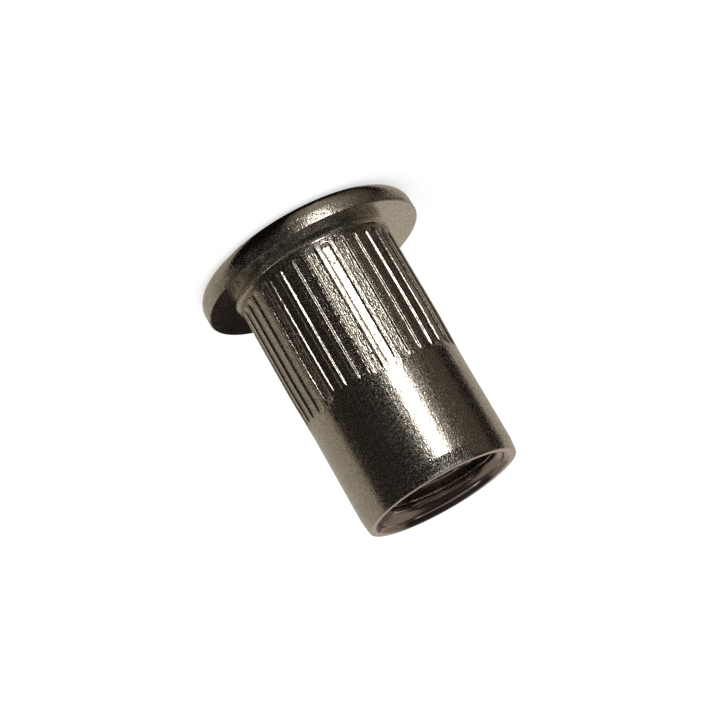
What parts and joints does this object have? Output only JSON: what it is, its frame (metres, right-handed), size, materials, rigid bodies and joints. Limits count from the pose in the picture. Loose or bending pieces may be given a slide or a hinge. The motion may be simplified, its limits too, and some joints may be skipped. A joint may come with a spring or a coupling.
{
  "type": "knurled rivet nut",
  "caption": "Flat-head cylindrical rivet nut with a straight-knurled shank, an open threaded end and a thin-walled crush zone behind the flange.",
  "frame": {"origin": "centre of the flange's outer face, on which the nut stands", "axes": "+Z along the nut's axis, from the flange's outer face towards the open threaded end; X and Y are alike"},
  "size_m": [0.0154, 0.0154, 0.019],
  "materials": {
    "stainless_steel": "bright tumbled stainless steel, with fine pitting and light handling marks"
  },
  "bodies": {
    "root": {"rivet_nut": "stainless_steel"}
  },
  "joints": []
}
